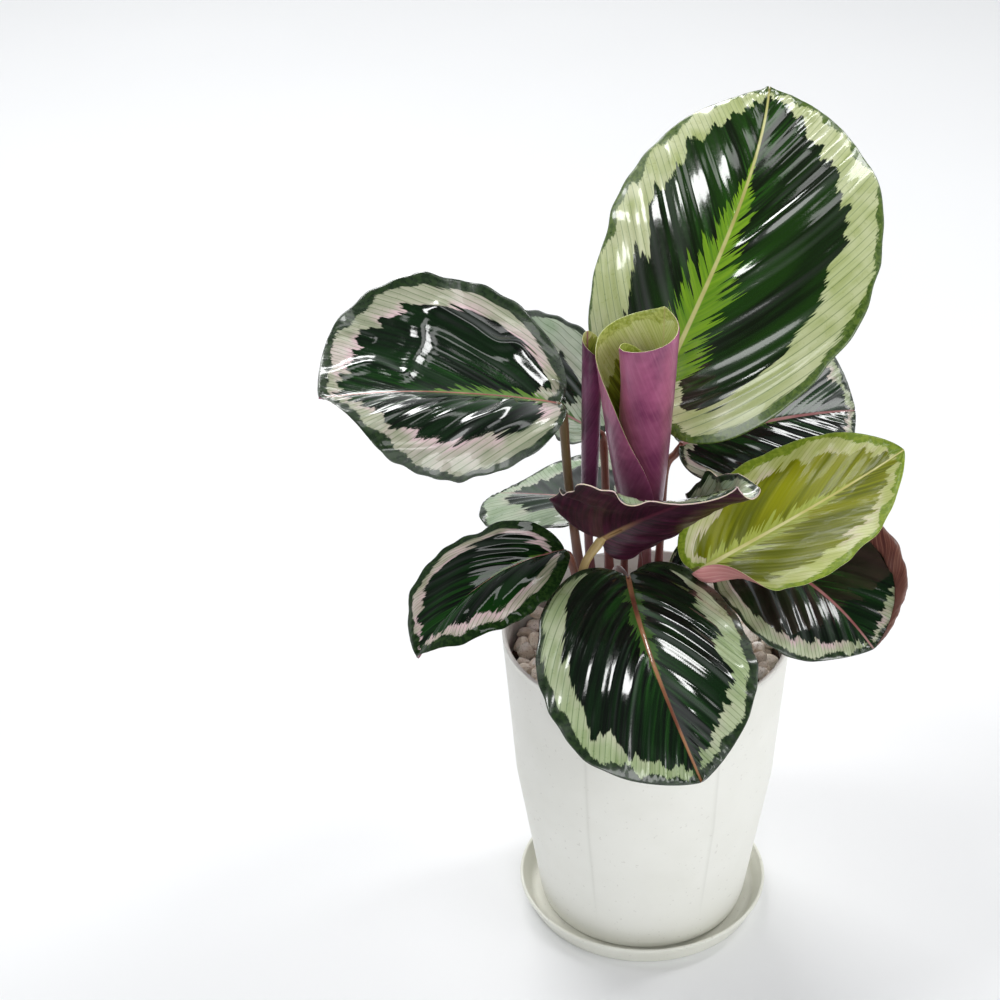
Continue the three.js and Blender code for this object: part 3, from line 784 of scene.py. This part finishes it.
for name, roll in ROLLS.items():
    length = (Vector(roll["axis"][1]) - Vector(roll["axis"][0])).length
    look = dict(ring=0.26, margin=0.06, feather=6, seed=len(name))
    tone = tones(BASE_TONE, ROLL_INSIDES[name])
    inside = leaf_top(f"{name}_inside", dict(length=length, half=roll["half"]), look, tone)
    under = tones(BASE_UNDER, ROLL_UNDER, ROLL_OUTSIDES[name])
    outside = leaf_under(f"{name}_outside", under, tone.spacing, length)
    piece = build_roll(f"{name}_surface", roll, [inside, outside, EDGE_CREAM])
    settle(piece, "leaf_roll", "shoot" if name == "shoot_blade" else name)


# ---- petioles
def stem_finish(name, *colours):
    """Petiole skin: colour from its base to its top, with fine lengthwise streaks."""
    g = Nodes(name)
    low, high, streak = (srgb(*c) for c in colours)
    along, turn = g.attr("along"), g.attr("turn")
    streaks = g.noise(g.vec(g.mul(turn, 9.0), g.mul(along, 5.0)), 1.0, 3, 0.6)
    colour = g.mix(g.step(along, 0.15, 0.85), low, high)
    colour = g.mix(g.mul(g.step(streaks, 0.42, 0.7), 0.7), colour, streak)
    fleck = g.cloud(420, 2, 0.6)
    normal = g.bump(streaks, 0.5, 0.0004, g.bump(fleck, 0.3, 0.0002))
    return g.surface(colour, g.fma(fleck, 0.2, 0.26), normal, Coat_Weight=0.12, Coat_Roughness=0.2)


STEMS = {name: stem_finish(f"stem_{name}", *colours) for name, colours in dict(
    brown=((120, 52, 56), (108, 60, 44), (150, 92, 70)), mauve=((116, 48, 70), (110, 62, 60), (150, 86, 104)),
    tan=((150, 116, 66), (176, 152, 96), (198, 176, 120)), olive=((104, 48, 54), (96, 80, 50), (128, 96, 70)),
    green=((128, 88, 58), (120, 122, 60), (158, 150, 92))).items()}
STEM_LOOKS = dict(left="olive", roll_thin="mauve", roll_wide="mauve", inner="tan", young="green")
STEM_STEPS = 70

for key, (radius, foot, *between) in PETIOLES.items():
    points = [(*foot, STEM_BASE), *between]
    if key in LEAVES:
        T, _, _ = leaf_axes(LEAVES[key], np.array([0.0]))
        points.append(tuple(np.array(LEAVES[key]["base"]) + T[0] * 1.5))
    else:
        points.append(ROLLS[f"{key}_blade"]["axis"][0])
    u = np.linspace(0, 1, STEM_STEPS)
    swell = 1 + 0.75 * np.exp(-(u / 0.28) ** 2) + 0.12 * ramp(u, 0.84, 0.92) - 0.25 * ramp(u, 0.95, 1)
    tube = build_tube(f"stem_{key}", smooth_path(points, STEM_STEPS), radius * swell,
                      0.25 * np.exp(-(u / 0.3) ** 2), [STEMS[STEM_LOOKS.get(key, "brown")]])
    node = f"leaf_{key}_petiole" if key in LEAVES else f"{key}_stem"
    settle(tube, "petiole_green" if key in ("left", "inner", "young") else "petiole", node)


# ---- stone chips
def icosphere(level):
    bm = bmesh.new()
    bmesh.ops.create_icosphere(bm, subdivisions=level, radius=1)
    verts = np.array([v.co[:] for v in bm.verts])
    faces = [[v.index for v in f.verts] for f in bm.faces]
    bm.free()
    return verts, faces


BALL, BALL_FACES = icosphere(4)
CHIP_ROUGH = 0.16  # depth of its lumps, as a share of its size
CHIP_SIZES = (4.4, 7.4)  # half size in mm
CHIP_LAYERS = (("stone_layer_low", 162.0, 90), ("stone_layer_top", 167.5, 110))  # name, height, chips
CHIP_RING = 37.0  # where they begin, from the middle of the pot


def stone(size, rng):
    """One worn stone chip of the given half sizes: flattened facets and a pitted skin."""
    v = BALL.copy()
    for _ in range(9):
        n = rng.normal(size=3)
        n /= np.linalg.norm(n)
        cut = rng.uniform(0.62, 0.92)
        over = np.maximum(v @ n - cut, 0)
        v -= 0.82 * over[:, None] * n
    for scale, share in ((1.6, 1.0), (3.6, 0.4), (9.0, 0.14)):
        k = rng.normal(size=(4, 3)) * scale
        p = rng.uniform(0, PHASE, 4)
        v *= (1 + CHIP_ROUGH * share * np.sin(BALL @ k.T + p).mean(axis=1))[:, None]
    v *= size
    turn = np.array(Matrix.Rotation(rng.uniform(0, PHASE), 3, "Z") @ Matrix.Rotation(rng.uniform(-0.5, 0.5), 3, "X"))
    return v @ turn.T


def stone_finish(name):
    """Pale pitted stone; about one chip in eight is darker."""
    g = Nodes(name)
    tint = g.attr("tint")
    cloud = g.cloud(160, 4, 0.65)
    fleck = g.cloud(900, 3, 0.7)
    light = g.mix(g.step(tint, 0.2, 0.8), srgb(238, 232, 218), srgb(255, 252, 244))
    warm = g.mix(g.step(cloud, 0.35, 0.7), light, srgb(222, 208, 186))
    colour = g.mix(g.mul(g.step(tint, 0.86, 0.9), 0.7), warm, srgb(150, 136, 118))
    colour = g.mix(g.mul(g.step(fleck, 0.56, 0.66), 0.7), colour, srgb(120, 100, 82))
    normal = g.bump(fleck, 0.7, 0.0005, g.bump(cloud, 0.7, 0.002))
    return g.surface(colour, g.fma(cloud, 0.2, 0.68), normal)


STONE = stone_finish("stone_chips")


def stone_object(name, stones):
    """One mesh of several chips, from (points, tint) pairs."""
    verts = np.vstack([v for v, _ in stones])
    faces = [[i + k * len(BALL) for i in f] for k in range(len(stones)) for f in BALL_FACES]
    tints = np.concatenate([np.full(len(BALL), tint) for _, tint in stones])
    return mesh_object(name, verts, faces, [STONE], attrs=dict(tint=tints))


def pot_radius(z):
    return float(np.interp(z, *zip(*POT["outside"])))


rng = seeded(7)
for i in range(1, 17):
    node = f"pebble_{i:02d}"
    lo, hi = (np.array(c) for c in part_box(node))
    chip = stone((hi - lo) / 2 / MM * 1.02, rng) + (lo + hi) / 2 / MM
    settle(stone_object(f"stone_{i:02d}", [(chip, rng.uniform())]), "pebble", node)

outer_edge = pot_radius(166) - POT["wall"] - 1.0
for name, level, wanted in CHIP_LAYERS:
    tries, placed, bed = 0, [], []
    while len(placed) < wanted and tries < 6000:
        tries += 1
        size = rng.uniform(*CHIP_SIZES)
        r = math.sqrt(rng.uniform((CHIP_RING + size * 0.5) ** 2, (outer_edge - size) ** 2))
        a = rng.uniform(0, 2 * math.pi)
        x, y = r * math.cos(a), r * math.sin(a)
        if all((x - px) ** 2 + (y - py) ** 2 > (0.8 * (size + ps)) ** 2 for px, py, ps in placed):
            placed.append((x, y, size))
            dims = size * np.array([rng.uniform(0.85, 1.25), rng.uniform(0.75, 1.05), rng.uniform(0.6, 0.9)])
            bed.append((stone(dims, rng) + np.array([x, y, level + rng.uniform(-1.2, 1.2)]), rng.uniform()))
    settle(stone_object(name, bed), "pebble", "pebble_bed")


# ---- pot, saucer, soil
def lathe_object(name, profile, materials, segments, ripple=None):
    """A closed ring of revolution from (radius, height) pairs in order round its section."""
    prof = np.array(profile)
    around = np.linspace(0, 2 * np.pi, segments, endpoint=False)
    r = prof[:, 0][:, None] + (0 if ripple is None else ripple(prof, around))
    verts = np.stack([r * np.cos(around), r * np.sin(around), np.repeat(prof[:, 1][:, None], segments, 1)], -1)
    return mesh_object(name, verts.reshape(-1, 3), ring_quads(len(prof), segments, True).tolist(), materials)


def arc(cx, cz, r, start, end, count):
    """Points of an arc between two angles in degrees."""
    return [(cx + r * math.cos(math.radians(a)), cz + r * math.sin(math.radians(a)))
            for a in np.linspace(start, end, count)]


def plastic(name, a, b, seam=None):
    """Matt moulded plastic with a faint mottle, fine grain and specks of dust."""
    g = Nodes(name)
    cloud = g.cloud(14, 4, 0.6)
    grain = g.cloud(1500, 2, 0.6)
    smear = g.noise(g.vec(g.mul(cloud, 3.0), 0.0, 0.0), 2.0, 2)
    colour = g.mix(g.step(cloud, 0.35, 0.68), a, b)
    speck = g.cloud(420, 1, 0.4)
    colour = g.mix(g.mul(g.step(speck, 0.70, 0.76), 0.25), colour, srgb(176, 172, 162))
    if seam is not None:
        colour = g.mix(g.mul(g.attr("seam"), 0.25), colour, seam)
    normal = g.bump(grain, 0.25, 0.00012)
    return g.surface(colour, g.fma(g.plus(cloud, smear), 0.12, 0.36), normal)


POT_WHITE = plastic("pot_plastic", srgb(236, 236, 229), srgb(231, 231, 223), srgb(190, 190, 180))
SAUCER_WHITE = plastic("saucer_plastic", srgb(226, 226, 216), srgb(220, 220, 209))

# pot: from the foot up the outside, over the rounded rim, down the inside and across the floor
top, wall, low = POT["top"], POT["wall"], POT["bottom"]
foot_r, inner_floor = 1.6, low + 3
zs = np.concatenate([np.linspace(low + 2, 40, 12), np.linspace(44, top - 1.2, 48)])
profile = [(0.02, low), (30, low), (pot_radius(low) - foot_r, low)]
profile += arc(pot_radius(low + foot_r) - foot_r, low + foot_r, foot_r, -80, -10, 5)
profile += [(pot_radius(z), z) for z in zs]
profile += arc(pot_radius(top) - wall / 2, top - wall / 2, wall / 2, 0, 180, 11)
profile += [(pot_radius(z) - wall, z) for z in zs[::-3]]
profile += [(pot_radius(low + 4) - wall - 2, inner_floor), (0.02, inner_floor)]
POT_SEGMENTS = 384
SEAMS_AT = [math.radians(a) for a in (-62, -118, 18, 150, 90)]


def seam_lines(around):
    """Upright lines left by the mould: 1 on a line, 0 away from it."""
    return sum(np.exp(-((np.angle(np.exp(1j * (around - a)))) / 0.012) ** 2) for a in SEAMS_AT)


def pot_ripple(prof, around):
    """The wall is very slightly facetted between its lines."""
    share = ramp(prof[:, 1], 12, 60) * (1 - ramp(prof[:, 1], 165, 178)) * (prof[:, 0] > 50)
    return share[:, None] * (0.16 * seam_lines(around) + 0.06 * np.sin(9 * around + 1))[None, :]


pot = lathe_object("pot_shell", profile, [POT_WHITE], POT_SEGMENTS, pot_ripple)
lines = seam_lines(np.linspace(0, 2 * np.pi, POT_SEGMENTS, endpoint=False))
fade = np.array([ramp(z, 14, 60) * (1 - ramp(z, 150, 176)) * (r > 50) for r, z in profile])
layer = pot.data.attributes.new("seam", "FLOAT", "POINT")
layer.data.foreach_set("value", (fade[:, None] * lines[None, :]).ravel().astype(np.float32))
settle(pot, "plastic", "pot")

# saucer: floor, turned-up wall and rounded lip
foot, lip, height, floor_z = 65.5, 70.7, 13.0, 3.0
saucer_profile = [(0.02, 0.0), (foot - 1.5, 0.0)] + arc(foot - 1.2, 1.2, 1.2, -80, -20, 4)
saucer_profile += [(foot + (lip - foot) * k, 2 + (height - 3.4) * k ** 1.1) for k in np.linspace(0.05, 1, 10)]
saucer_profile += arc(lip - 1.0, height - 1.0, 1.0, 0, 180, 9)
saucer_profile += [(lip - 2.0 - (lip - foot) * k * 0.9, height - 1.6 - (height - floor_z - 2.2) * k)
                   for k in np.linspace(0.1, 1, 8)]
saucer_profile += [(foot - 4.5, floor_z), (0.02, floor_z)]
settle(lathe_object("saucer_dish", saucer_profile, [SAUCER_WHITE], 288), "plastic", "saucer")


def soil_finish():
    """Dark crumbly potting soil with paler fibres."""
    g = Nodes("potting_soil")
    clod = g.cloud(180, 5, 0.7)
    fibre = g.cloud(650, 3, 0.7)
    colour = g.mix(g.step(clod, 0.35, 0.65), srgb(44, 32, 24), srgb(86, 66, 48))
    colour = g.mix(g.mul(g.step(fibre, 0.6, 0.72), 0.7), colour, srgb(136, 112, 84))
    normal = g.bump(fibre, 0.6, 0.0006, g.bump(clod, 0.8, 0.0025))
    return g.surface(colour, g.fma(clod, 0.15, 0.8), normal)


SOIL = soil_finish()
soil_node = next(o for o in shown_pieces() if o.get("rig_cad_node") == "soil" or o.name == "soil")
soil_node.data.materials.clear()
soil_node.data.materials.append(SOIL)

# crown: a crumbly mound of soil round the stems
MOUND_RADIUS, MOUND_SIDES = 36, 160
ring_r = np.concatenate([[0.0], np.linspace(1.2, MOUND_RADIUS, 46)])
around = np.linspace(0, 2 * np.pi, MOUND_SIDES, endpoint=False)
R, A = np.meshgrid(ring_r, around, indexing="ij")
X, Y = R * np.cos(A), R * np.sin(A)
crumbs = np.zeros_like(X)
for i in range(9):
    kx, ky = seeded(30 + i).normal(size=2) * (0.18 + 0.12 * i)
    crumbs += 0.4 / (1 + i * 0.25) * np.sin(kx * X + ky * Y + i)
lo, hi = (np.array(c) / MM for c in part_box("crown"))
upper = np.stack([X, Y, hi[2] - 1.6 - 3.2 * (R / MOUND_RADIUS) ** 2 + crumbs], -1)
lower = np.stack([X, Y, np.full_like(X, lo[2] + 0.5)], -1)
top_faces = ring_quads(len(ring_r), MOUND_SIDES)[:, [0, 3, 2, 1]]
j = np.arange(MOUND_SIDES)
last = R.size - MOUND_SIDES
after = (j + 1) % MOUND_SIDES
wall_faces = np.stack([last + j, last + R.size + j, last + R.size + after, last + after], -1)
mound = mesh_object("soil_mound", np.vstack([upper.reshape(-1, 3), lower.reshape(-1, 3)]),
                    np.vstack([top_faces, (top_faces + R.size)[:, ::-1], wall_faces]).tolist(), [SOIL])
bm = bmesh.new()
bm.from_mesh(mound.data)
bmesh.ops.remove_doubles(bm, verts=bm.verts, dist=1e-6)
bm.to_mesh(mound.data)
bm.free()
settle(mound, "crown", "crown")

# ---- floor, light and camera
def plain(name, colour, rough):
    g = Nodes(name)
    cloud = g.cloud(3, 2, 0.5)
    return g.surface(g.mix(g.step(cloud, 0.2, 0.8), colour, tuple(c * 0.98 for c in colour)), rough)


FLOOR_HALF, FLOOR_Z = 6000, -0.2
corners = [(x * FLOOR_HALF, y * FLOOR_HALF, FLOOR_Z) for x, y in ((-1, -1), (1, -1), (1, 1), (-1, 1))]
ground = mesh_object("floor", corners, [[0, 1, 2, 3]], [plain("floor_white", srgb(240, 241, 242), 0.6)])
ground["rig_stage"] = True

# the sky's strength falls from its horizon to its top
world = bpy.data.worlds.new("studio")
world.use_nodes = True
add, link = world.node_tree.nodes.new, world.node_tree.links.new
height = add("ShaderNodeSeparateXYZ")
link(add("ShaderNodeTexCoord").outputs["Generated"], height.inputs[0])
fall = add("ShaderNodeMapRange")
for socket, value in zip(list(fall.inputs)[1:5], (0.3, 0.85, 0.62, 0.06)):
    socket.default_value = value
link(height.outputs["Z"], fall.inputs[0])
sky = world.node_tree.nodes["Background"].inputs
sky["Color"].default_value = (0.95, 0.97, 1.0, 1)
link(fall.outputs[0], sky["Strength"])
scene.world = world


# area lights: place, target, size, watts
for name, place, target, size, watts in (
        ("window", (-0.6, 1.5, 1.7), (0, 0, 0.25), (1.3, 0.45), 22),
        ("skylight", (-0.9, 0.2, 2.0), (0, 0, 0.25), (0.3, 1.1), 14),
        ("right_strip", (1.2, 0.7, 1.7), (0, 0, 0.25), (0.3, 1.0), 10),
        ("right_fill", (1.9, -1.0, 0.9), (0, 0, 0.15), (1.2, 1.0), 12),
        ("ceiling", (0.46, 0.48, 2.1), (-0.1, 0, 0.3), (0.5, 0.5), 1.6),
        ("front_fill", (0.3, -2.3, 1.5), (0, 0, 0.25), (1.8, 1.0), 20)):
    data = bpy.data.lights.new(name, "AREA")
    data.shape = "RECTANGLE"
    data.size, data.size_y = size
    data.energy = watts
    light = add_object(name, data)
    light.location = place
    light.rotation_mode = "QUATERNION"
    light.rotation_quaternion = (Vector(target) - Vector(place)).to_track_quat("-Z", "Y")

# the camera looks down and leans a little
CAMERA_AT, LOOK_DOWN, LEAN = (-0.078, -1.120, 0.961), 31.8, 1.2
camera_data = bpy.data.cameras.new("camera")
camera_data.lens = 90
camera_data.sensor_width = 36
camera = add_object("camera", camera_data)
pitch, roll = math.radians(LOOK_DOWN), math.radians(LEAN)
forward = Vector((0, math.cos(pitch), -math.sin(pitch)))
down = Vector((0, -math.sin(pitch), -math.cos(pitch)))
right = Vector((1, 0, 0))
image_right = math.cos(roll) * right + math.sin(roll) * down
image_down = -math.sin(roll) * right + math.cos(roll) * down
axes = Matrix((image_right, -image_down, -forward)).transposed().to_4x4()
camera.matrix_world = Matrix.Translation(CAMERA_AT) @ axes
bpy.context.scene.camera = camera
scene.view_settings.view_transform = "Standard"
